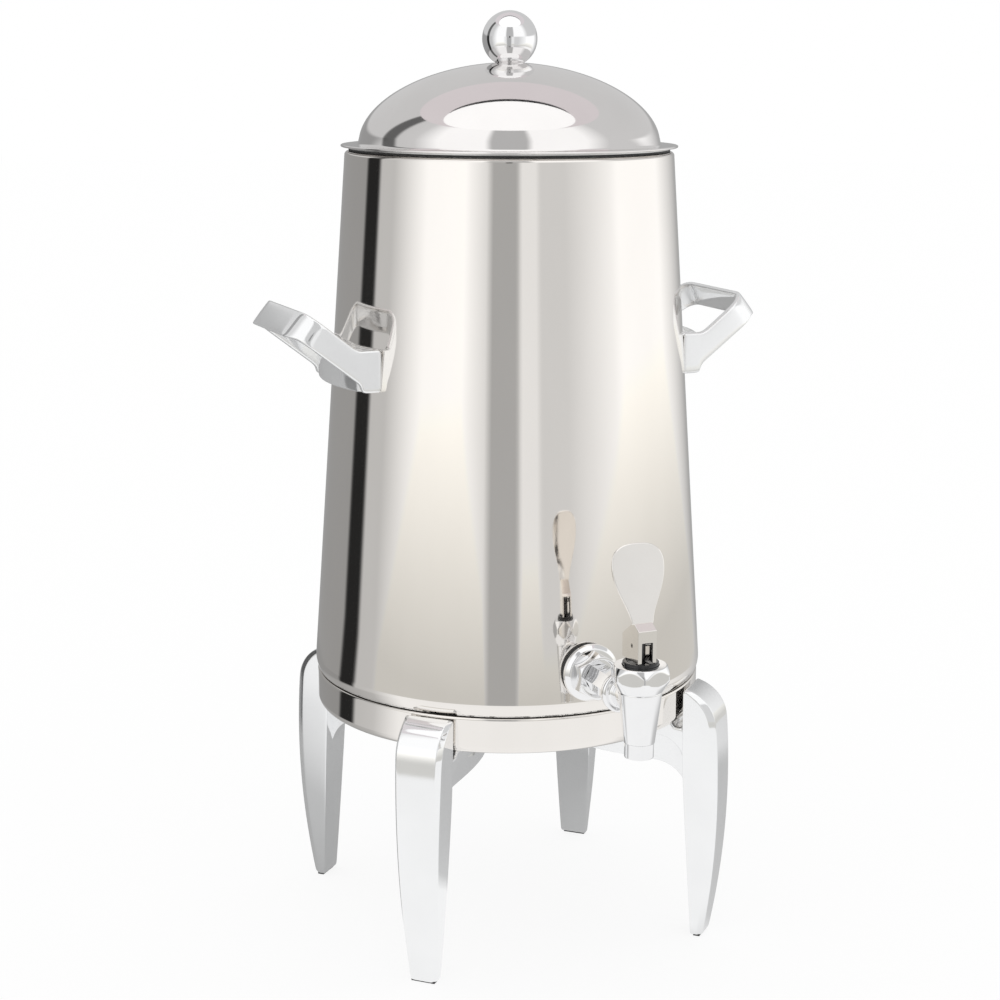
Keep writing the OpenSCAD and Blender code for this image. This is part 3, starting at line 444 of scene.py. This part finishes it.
def makeHandle(s):
    # the lower and upper lines of the side view, by distance from the axis
    def low(x):
        underGrip = s["gripZ"] - 1 + (x - s["gripX"] + s["gripT"]) * s["gripRise"]
        return min(s["lowAt"] + s["lowSlope"] * (x - s["slopeX"]), underGrip)

    def high(x):
        return min(s["highAt"] + s["highSlope"] * (x - s["slopeX"]), s["topZ"] - 0.4)

    def leaned(turn, radius, x, lean, line):
        # where a leaning corner of the loop meets one of those lines
        start = x - radius / math.cos(math.radians(lean)) * (1 - math.sin(math.radians(turn)))
        at = start
        for _ in range(30):
            at += (start - math.tan(math.radians(lean)) * (line(at) - s["gripZ"]) - at) * 0.5
        return (at, s["half"] - s["cornerR"] + radius * math.cos(math.radians(turn)), line(at))

    def corner(turn, y=0):
        inside, inX = s["cornerR"] - s["thick"], s["gripX"] - s["gripT"]
        four = [leaned(turn, s["cornerR"], s["gripX"], s["outLean"], low),
                leaned(turn, s["cornerR"], s["gripX"], s["outLean"], high),
                leaned(turn, inside, inX, s["inLean"], high), leaned(turn, inside, inX, s["inLean"], low)]
        return [(x, y if y else w, z) for x, w, z in four]

    def arm(x, lowZ, highZ, back=0):
        w = s["half"]
        return [(x, w, lowZ), (x, w, highZ), (x + back, w - s["thick"], highZ), (x + back, w - s["thick"], lowZ)]

    half = [arm(x, s["footZ"], s["footTop"], back) for x, back in ((122.4, 3), (126, 2.6), (133, 1))]
    half += [arm(s["footX"] - 0.8, s["footZ"] + 0.3, s["footTop"]),
             arm(s["footX"] + 0.3, s["footZ"] + 2, s["footTop"]),
             arm(s["footX"] + 0.9, s["footZ"] + 4.4, s["footTop"] + 0.1)]
    half += [arm(x, low(x), max(high(x), s["footTop"] + 0.2)) for x in (140.5, 144, 149, 155)]
    half += [corner(turn) for turn in (0, 14, 28, 42, 56, 70, 82, 90)] + [corner(90, y) for y in (30, 18, 6)]
    whole = half + [[(x, -y, z) for x, y, z in station] for station in reversed(half)]

    def across(y):
        out, back = (math.sqrt(r * r - y * y) for r in (s["footR"], s["shellR"]))
        return [(out, y, s["footZ"]), (out, y, s["footTop"]), (back - 1.4, y, s["footTop"]), (back, y, s["footZ"])]

    plate = [across(s["plateHalf"] * i / 8) for i in range(-8, 9)]
    return join([loft(whole, s["edge"]), loft(plate, s["edge"])])


for name, turn in (("handle_right", 0), ("handle_left", 180)):
    bm = makeHandle(handleSizes)
    bmesh.ops.rotate(bm, cent=(0, 0, 0), matrix=Matrix.Rotation(math.radians(turn), 3, "Z"), verts=bm.verts[:])
    newPiece(name.replace("_", "."), bm, castChrome, "urn", [name], smooth=0, subdivide=2)
print("handles made")


# tap: nut, shank, body, bonnet and gland

tapSizes = {"reach": 233, "outletZ": 236.5, "nutR": 21.3, "nutAt": 152.0, "nutLen": 18, "nutAf": 31,
            "recessR": 13.6, "shankAf": 18.6, "collarAt": 200, "collarR": 15, "collarLen": 6,
            "topZ": 246.5, "lowZ": 209, "topR": 15.6, "lowR": 11, "spoutR": 10.4, "boreR": 7.5, "tipZ": 198,
            "bonnetAf": 38, "bonnetTop": 265, "bonnetTurn": 14, "glandR": 12.7, "glandTop": 267.5, "stemR": 3.2}


def makeTapBody(s):
    side = [(0, s["topZ"]), (s["topR"], s["topZ"], 1.2), (s["lowR"], s["lowZ"], 0.6),
            (s["spoutR"], s["lowZ"] - 0.4, 0.2), (s["spoutR"], s["tipZ"], 0.5), (s["boreR"], s["tipZ"], 0.4),
            (s["boreR"], s["lowZ"] + 8), (0, s["lowZ"] + 8)]
    cone = spinLine(softLine(side, closed=False, steps=6, support=0.5), closed=False, steps=144)
    at, r, long = s["collarAt"], s["collarR"], s["collarLen"]
    collar = softLine([(0, at), (r, at, 2.4), (r, at + long, 2.2), (9.8, at + long + 0.6, 2), (9.6, at + 14, 6),
                       (9.7, s["reach"] - 6), (0, s["reach"] - 6)], closed=False, steps=7, support=0.5)
    return join([onTap(cone), alongOutlet(spinLine(collar, closed=False, steps=128))])


def makeBonnet(s):
    top, low, r = s["bonnetTop"], s["topZ"], s["bonnetAf"] / 2
    line = [(s["topR"] - 1, low), (s["topR"] + 0.6, low, 0.5), (r + 2.3, low + 8.6, 3.2), (r + 2.3, top - 5.5, 3.2),
            (r - 0.6, top - 0.2, 0.9), (s["glandR"] + 0.4, top, 0.3), (s["glandR"] + 0.25, top - 2)]
    bm = spinLine(softLine(line, closed=False, steps=8, support=0.5), closed=False, steps=240)
    tall = [e for e in bm.edges if abs(e.verts[0].co.z - e.verts[1].co.z) > 1.2 * mm]
    bmesh.ops.subdivide_edges(bm, edges=tall, cuts=5, use_grid_fill=True)
    return onTap(facet(bm, 6, s["bonnetAf"], s["bonnetTurn"], 0.7))


def makeNut(s):
    at, end = s["nutAt"], s["nutAt"] + s["nutLen"]
    rim = [(9.7, at), (s["nutR"], at, 0.5), (s["nutR"], at + 3.4, 1.6), (18.6, at + 6, 2), (9.7, at + 6.4)]
    flange = spinLine(softLine(rim, steps=7, support=0.4), steps=160)
    r = s["nutAf"] / 2
    side = [(9.7, at + 5), (r + 3.2, at + 5), (r + 3.2, end - 3, 1), (r + 0.2, end, 0.8), (s["recessR"], end, 0.6),
            (s["recessR"], end - 4, 0.3), (9.7, end - 4)]
    head = spinLine(softLine(side, steps=6, support=0.4), steps=240)
    return join([alongOutlet(flange), alongOutlet(facet(head, 6, s["nutAf"], 30, 0.6))])


def makeShank(s):
    start, end = s["nutAt"] + 14.3, s["collarAt"] - 1.5
    side = [(4.6, start), (12, start, 0.8), (12, end, 0.8), (4.6, end)]
    bar = spinLine(softLine(side, steps=5, support=0.4), steps=180)
    return alongOutlet(facet(bar, 6, s["shankAf"], 0, 0.5))


def makeGland(s):
    top, r = s["glandTop"], s["glandR"]
    line = [(s["stemR"] + 0.1, top - 4), (r - 1, top - 4.4, 0.4), (r, top - 3, 0.5), (r, top, 0.7),
            (r - 2.4, top - 0.1, 0.6), (r - 4, top - 1.5, 1.2), (s["stemR"] + 1.6, top - 1.3, 0.8),
            (s["stemR"] + 0.1, top - 0.6)]
    return onTap(spinLine(softLine(line, steps=6, support=0.3), steps=120))


newPiece("tapBody", makeTapBody(tapSizes), tapChrome, "urn", ["tap_body"])
newPiece("tapBonnet", makeBonnet(tapSizes), tapChrome, "urn", ["bonnet"], smooth=50)
newPiece("flangeNut", makeNut(tapSizes), tapChrome, "urn", ["flange_nut"], smooth=50)
newPiece("tapShank", makeShank(tapSizes), tapChrome, "urn", ["shank"], smooth=50)
newPiece("tapGland", makeGland(tapSizes), blackPlastic, "urn", ["gland"])
print("tap made")


# lever: folded fork with a slot for the stem, and the paddle

leverSizes = {"forkZ": 267.8, "forkW": 14, "front": 9, "back": 15, "forkH": 24, "sheet": 2, "slotW": 8.2,
              "slotH": 14.5, "ridge": -2, "paddleW": 40, "neckW": 16.5, "paddleH": 56, "paddleT": 2.4, "lean": 13,
              "crownH": 16, "waist": 0.85, "crownSide": 0.75, "crownTop": 0.85}


def cut(piece, cutter):
    # a real cut, made once, so that the piece stays one closed mesh
    tool = bpy.data.objects.new("cutter", bpy.data.meshes.new("cutter"))
    cutter.to_mesh(tool.data)
    work = bpy.data.objects.new("work", bpy.data.meshes.new("work"))
    piece.to_mesh(work.data)
    for o in (tool, work):
        bpy.context.scene.collection.objects.link(o)
    change = work.modifiers.new("cut", "BOOLEAN")
    change.operation, change.solver, change.object = "DIFFERENCE", "EXACT", tool
    done = work.evaluated_get(bpy.context.evaluated_depsgraph_get()).to_mesh()
    result = bmesh.new()
    result.from_mesh(done)
    for o in (tool, work):
        bpy.data.objects.remove(o)
    piece.free()
    cutter.free()
    return result


def makeFork(s):
    f, b, h, r, t = s["front"], s["back"], s["forkH"], s["ridge"], s["sheet"]
    upright = Matrix.Rotation(math.pi / 2, 4, "Z") @ Matrix.Rotation(math.pi / 2, 4, "X")
    outside = [(-f - 1, 0), (b, 0), (b, h - 8), (b - 1, h - 6.5), (r + 2, h + 3), (r - 1, h + 3), (-f - 1, h - 1)]
    inside = [(-f - 1 + t, -1), (b + 2, -1), (b + 2, h - 8 - t), (r + 2, h + 2.6 - t), (r - 1, h + 2.6 - t),
              (-f - 1 + t, h - 1 - t)]
    block = slab(outside, s["forkW"], upright)
    hollow = slab(inside, s["forkW"] - 2 * t, upright)
    slot = bmesh.new()
    bmesh.ops.create_cube(slot, size=1)
    bmesh.ops.scale(slot, vec=(s["slotW"] * mm, 7 * mm, (s["slotH"] + 1) * mm), verts=slot.verts[:])
    bmesh.ops.translate(slot, vec=(0, (-f - 0.5) * mm, (s["slotH"] - 1) / 2 * mm), verts=slot.verts[:])
    fork = cut(cut(block, hollow), slot)
    bmesh.ops.dissolve_limit(fork, angle_limit=math.radians(1), verts=fork.verts[:], edges=fork.edges[:])
    bevelEdges(fork, sharpEdges(fork, 20), 0.35, 3)
    return fork


def makePaddle(s):
    wide, neck, tall = s["paddleW"] / 2, s["neckW"] / 2, s["paddleH"]
    centre = tall - s["crownH"]
    steps = 22
    right = [(neck, 0)]
    for i in range(1, steps + 1):
        u = i / steps
        right.append((neck + (wide - neck) * (0.5 - math.cos(math.pi * u ** s["waist"]) / 2), centre * u))
    for i in range(1, steps):
        a = math.pi / 2 * i / steps
        right.append((wide * math.cos(a) ** s["crownSide"], centre + s["crownH"] * math.sin(a) ** s["crownTop"]))
    outline = right + [(0, tall)] + [(-x, y) for x, y in reversed(right)]
    place = (Matrix.Translation((0, s["ridge"] * mm, (s["forkH"] + 2.2) * mm))
             @ Matrix.Rotation(math.radians(90 - s["lean"]), 4, "X"))
    bm = slab(outline, s["paddleT"], place)
    bevelEdges(bm, sharpEdges(bm, 50), 0.8, 4)
    return bm


def makeLever(s):
    bm = join([makeFork(s), makePaddle(s)])
    bmesh.ops.translate(bm, vec=(0, 0, s["forkZ"] * mm), verts=bm.verts[:])
    return onTap(bm)


newPiece("lever", makeLever(leverSizes), leverSteel, "lever", ["lever"],
         smooth=30, weighted=True)
print("lever made")


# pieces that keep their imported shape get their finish

plainFinishes = {
    "tank_steel": satinSteel, "plate_steel": plainSteel, "insulator": fibreRing, "fastener_steel": boltSteel,
    "black_rubber": blackRubber, "chrome_casting": castChrome, "plated_casting": legChrome,
    "chrome_plated": tapChrome, "black_plastic": blackPlastic, "stem_steel": slotShadedStemSteel,
    "pale_silicone": paleSilicone, "lever_steel": leverSteel, "shell_steel": mirrorSteel,
}
for sub in frame["record"]["subparts"]:
    mesh = nodes[sub["node"]].data
    mesh.materials.clear()
    mesh.materials.append(plainFinishes[sub["material_slot"]])
print("kept pieces finished")


# studio: a ring of soft panels, a ceiling, and a pale floor

studioSizes = {"radius": 1.4, "height": 2.2, "drop": 0.3, "facing": 246.7, "rise": 0.8, "riseBlend": 0.12,
               "footLevel": 0.63, "footTop": 1.2, "footH": 0.4, "warm": (1.0, 0.985, 0.94), "floorR": 12.0,
               "nearR": 0.5, "nearBlend": 0.12, "farR": 0.86, "farBlend": 0.08,
               "paperGrey": 0.9, "paperShare": 0.16, "paperGlow": 1.016}
# brightness round the ring, by the angle from the camera: the low wall, the wall above it, the middle of the floor
# and the floor close to the urn
lowPanels = [(-180, 0.40), (-150, 0.33), (-111, 0.33), (-108, 0.02), (-96, 0.02), (-93, 0.56), (-81, 0.56),
             (-54, 1.10), (-28, 1.14), (-24, 1.02), (-14, 0.80), (-10, 0.43), (5, 0.43), (8, 0.86), (17, 0.86),
             (20, 0.68), (36, 0.68), (68, 1.0), (75, 1.12), (115, 1.12), (122, 0.98), (154, 0.42), (180, 0.40)]
highPanels = [(-180, 0.62), (-111, 0.62), (-108, 0.13), (-96, 0.13), (-92, 0.62), (-75, 0.65), (-55, 1.08),
              (-18, 1.08), (-13, 0.5), (13, 0.5), (18, 1.08), (60, 1.08), (80, 0.65), (180, 0.62)]
floorPanels = [(-180, 0.30), (-111, 0.30), (-108, 0.02), (-96, 0.02), (-93, 0.55), (-78, 0.60), (-60, 0.95),
               (100, 0.95), (150, 0.5), (180, 0.35)]
nearPanels = [(-180, 0.4), (-110, 0.38), (-78, 0.5), (-58, 0.96), (58, 0.96), (78, 0.58), (110, 0.52), (180, 0.4)]


def emptyFinish(name):
    finish = bpy.data.materials.new(name)
    finish.use_nodes = True
    finish.node_tree.nodes.clear()
    return finish, finish.node_tree


def feed(tree, source, target):
    # a socket is linked, a plain value is set
    if isinstance(source, bpy.types.NodeSocket):
        tree.links.new(source, target)
    else:
        target.default_value = source


def ringShade(tree, panels):
    place = tree.nodes.new("ShaderNodeTexCoord")
    turn = tree.nodes.new("ShaderNodeMapping")
    turn.inputs["Rotation"].default_value = (0, 0, -math.radians(studioSizes["facing"]))
    split = tree.nodes.new("ShaderNodeSeparateXYZ")
    angle = tree.nodes.new("ShaderNodeMath")
    angle.operation = "ARCTAN2"
    share = tree.nodes.new("ShaderNodeMapRange")
    share.inputs["From Min"].default_value, share.inputs["From Max"].default_value = -math.pi, math.pi
    ramp = tree.nodes.new("ShaderNodeValToRGB")
    tree.links.new(place.outputs["Object"], turn.inputs["Vector"])
    tree.links.new(turn.outputs["Vector"], split.inputs["Vector"])
    tree.links.new(split.outputs["Y"], angle.inputs[0])
    tree.links.new(split.outputs["X"], angle.inputs[1])
    tree.links.new(angle.outputs["Value"], share.inputs["Value"])
    tree.links.new(share.outputs["Result"], ramp.inputs["Fac"])
    stops = ramp.color_ramp.elements
    while len(stops) < len(panels):
        stops.new(0.5)
    for stop, (degrees, level) in zip(stops, panels):
        stop.position = (degrees + 180) / 360
        stop.color = (level, level, level, 1)
    return ramp.outputs["Color"], split.outputs["Z"]


def zone(tree, source, start, width):
    # 0 before the start and 1 after it, with a soft change between
    change = tree.nodes.new("ShaderNodeMapRange")
    change.interpolation_type = "SMOOTHSTEP"
    change.inputs["From Min"].default_value, change.inputs["From Max"].default_value = start, start + width
    tree.links.new(source, change.inputs["Value"])
    return change.outputs["Result"]


def blend(tree, share, first, second):
    mix = tree.nodes.new("ShaderNodeMix")
    mix.data_type = "RGBA"
    tree.links.new(share, mix.inputs["Factor"])
    tree.links.new(first, mix.inputs[6])
    tree.links.new(second, mix.inputs[7])
    return mix.outputs[2]


def combine(tree, operation, first, second):
    step = tree.nodes.new("ShaderNodeVectorMath")
    step.operation = operation
    feed(tree, first, step.inputs[0])
    feed(tree, second, step.inputs[1])
    return step.outputs["Vector"]


def glow(tree, colour, strength=1.0):
    light = tree.nodes.new("ShaderNodeEmission")
    light.inputs["Strength"].default_value = strength
    feed(tree, colour, light.inputs["Color"])
    return light.outputs["Emission"]


def mixShaders(tree, share, first, second):
    mix = tree.nodes.new("ShaderNodeMixShader")
    feed(tree, share, mix.inputs["Fac"])
    tree.links.new(first, mix.inputs[1])
    tree.links.new(second, mix.inputs[2])
    return mix.outputs["Shader"]


def toSurface(tree, shader):
    out = tree.nodes.new("ShaderNodeOutputMaterial")
    tree.links.new(shader, out.inputs["Surface"])


def stagePiece(name, bm, finish, camera=False):
    mesh = bpy.data.meshes.new(name)
    bm.to_mesh(mesh)
    bm.free()
    mesh.materials.append(finish)
    piece = bpy.data.objects.new(name, mesh)
    bpy.context.scene.collection.objects.link(piece)
    piece.visible_camera = camera
    piece.visible_shadow = camera
    piece.visible_diffuse = camera


def makeStudio(s):
    # these sizes are metres, and an outline is drawn in millimetres
    wallR, wallLow, wallTop = s["radius"] * 1000, -s["drop"] * 1000, s["height"] * 1000
    wall = spinLine([(wallR, wallLow), (wallR, wallTop)], closed=False, steps=128)
    finish, tree = emptyFinish("studioWall")
    low, height = ringShade(tree, lowPanels)
    high = ringShade(tree, highPanels)[0]
    colour = blend(tree, zone(tree, height, s["rise"], s["riseBlend"]), low, high)
    # the lowest part of the wall is never brighter than this, and a little warmer
    foot = tree.nodes.new("ShaderNodeMapRange")
    foot.inputs["From Min"].default_value, foot.inputs["From Max"].default_value = 0.0, s["footH"]
    foot.inputs["To Min"].default_value, foot.inputs["To Max"].default_value = s["footLevel"], s["footTop"]
    tree.links.new(height, foot.inputs["Value"])
    warm = combine(tree, "MULTIPLY", foot.outputs["Result"], s["warm"])
    toSurface(tree, glow(tree, combine(tree, "MINIMUM", colour, warm)))
    stagePiece("studioWall", wall, finish)


def panel(name, width, depth, centre, level, tint=(1, 1, 1), oval=False, upright=False):
    bm = bmesh.new()
    if oval:
        bmesh.ops.create_circle(bm, cap_ends=True, segments=96, radius=0.5)
    else:
        bmesh.ops.create_grid(bm, x_segments=1, y_segments=1, size=0.5)
    bmesh.ops.scale(bm, vec=(width, depth, 1), verts=bm.verts[:])
    if upright:
        bmesh.ops.rotate(bm, cent=(0, 0, 0), matrix=Matrix.Rotation(math.pi / 2, 3, "X"), verts=bm.verts[:])
    bmesh.ops.translate(bm, vec=(0, centre[0], centre[1]), verts=bm.verts[:])
    # y runs from the urn towards the camera
    facing = Matrix.Rotation(math.radians(studioSizes["facing"] - 90), 3, "Z")
    bmesh.ops.rotate(bm, cent=(0, 0, 0), matrix=facing, verts=bm.verts[:])
    finish, tree = emptyFinish(name)
    toSurface(tree, glow(tree, (*tint, 1), level))
    stagePiece(name, bm, finish)


def makeFloor(s):
    bm = bmesh.new()
    bmesh.ops.create_circle(bm, cap_ends=True, segments=96, radius=s["floorR"])
    finish, tree = emptyFinish("paleFloor")
    cloth = tree.nodes.new("ShaderNodeBsdfDiffuse")
    cloth.inputs["Color"].default_value = (s["paperGrey"], s["paperGrey"], s["paperGrey"], 1)
    white = glow(tree, (1, 1, 1, 1), s["paperGlow"])
    paper = mixShaders(tree, s["paperShare"], white, cloth.outputs["BSDF"])
    # mirror finishes see rings of their own on the floor: near, middle and far
    place = tree.nodes.new("ShaderNodeTexCoord")
    distance = tree.nodes.new("ShaderNodeVectorMath")
    distance.operation = "LENGTH"
    tree.links.new(place.outputs["Object"], distance.inputs[0])
    away = distance.outputs["Value"]
    near, middle = ringShade(tree, nearPanels)[0], ringShade(tree, floorPanels)[0]
    farCap = [s["footLevel"] * c for c in s["warm"]]
    far = combine(tree, "MINIMUM", ringShade(tree, lowPanels)[0], farCap)
    tone = blend(tree, zone(tree, away, s["nearR"], s["nearBlend"]), near, middle)
    tone = blend(tree, zone(tree, away, s["farR"], s["farBlend"]), tone, far)
    seen = tree.nodes.new("ShaderNodeLightPath")
    toSurface(tree, mixShaders(tree, seen.outputs["Is Glossy Ray"], paper, glow(tree, tone)))
    stagePiece("floor", bm, finish, camera=True)


makeStudio(studioSizes)
panelSizes = {
    "ceiling": {"width": 3.4, "depth": 3.4, "centre": (0, 2.21), "level": 1.0, "tint": (0.71, 0.665, 0.68)},
    "topLight": {"width": 2.3, "depth": 1.74, "centre": (0.53, 2.18), "level": 1.12, "oval": True},
    "topRail": {"width": 2.0, "depth": 1.66, "centre": (0.39, 2.19), "level": 0.03, "oval": True},
    "cameraStand": {"width": 0.1, "depth": 0.16, "centre": (1.36, 0.84), "level": 0.02, "upright": True},
}
for name, values in panelSizes.items():
    panel(name, **values)
makeFloor(studioSizes)

world = bpy.data.worlds.new("studio")
world.use_nodes = True
bpy.context.scene.world = world
world.node_tree.nodes["Background"].inputs["Color"].default_value = (1, 1, 1, 1)
world.node_tree.nodes["Background"].inputs["Strength"].default_value = 1.0
print("studio ready")


# camera

cameraView = {"place": (-0.6298, -1.4635, 0.6774), "lens": 74.88, "sensor": 36, "near": 0.05,
              "turn": 0.22, "pitch": 12.16, "roll": 0.2}
camera = bpy.data.cameras.new("camera")
camera.lens, camera.sensor_width, camera.clip_start = cameraView["lens"], cameraView["sensor"], cameraView["near"]
cameraObject = bpy.data.objects.new("camera", camera)
bpy.context.scene.collection.objects.link(cameraObject)
bpy.context.scene.camera = cameraObject
place = Vector(cameraView["place"])
heading = math.atan2(-place.y, -place.x) + math.radians(cameraView["turn"])
pitch = math.radians(cameraView["pitch"])
aim = Vector((math.cos(heading) * math.cos(pitch), math.sin(heading) * math.cos(pitch), -math.sin(pitch)))
cameraObject.rotation_mode = "QUATERNION"
cameraObject.location = place
cameraObject.rotation_quaternion = (aim.to_track_quat("-Z", "Y")
                                    @ Matrix.Rotation(math.radians(cameraView["roll"]), 3, "Z").to_quaternion())
bpy.context.scene.view_settings.view_transform = "Standard"
